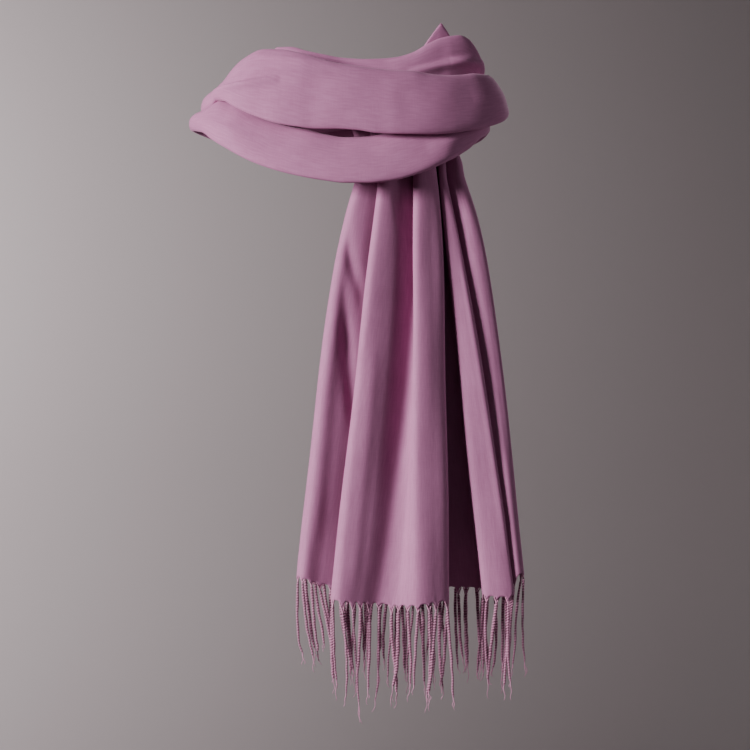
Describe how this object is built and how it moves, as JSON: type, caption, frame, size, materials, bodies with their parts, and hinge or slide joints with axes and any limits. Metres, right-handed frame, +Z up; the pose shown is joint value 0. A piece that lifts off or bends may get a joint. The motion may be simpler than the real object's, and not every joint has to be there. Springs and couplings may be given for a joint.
{
  "type": "tassel scarf",
  "caption": "Mauve woven scarf wound in soft turns round an upright support, its long end hanging down in deep folds to a twisted fringe.",
  "frame": {"origin": "middle of the hollow that the scarf is wound round, level with the top of the lower wrap's sides, where its support holds it", "axes": "+Z up, -Y to the front where the long end hangs, +X to the viewer's right"},
  "size_m": [0.3036, 0.1454, 0.6189],
  "materials": {
    "scarf_cloth": "matt fine weave",
    "fringe_yarn": "matt twisted yarn"
  },
  "bodies": {
    "root": {"wrap_top": "scarf_cloth", "wrap_lower": "scarf_cloth", "wrap_upper": "scarf_cloth", "tail": "scarf_cloth", "fringe": "fringe_yarn"}
  },
  "joints": []
}
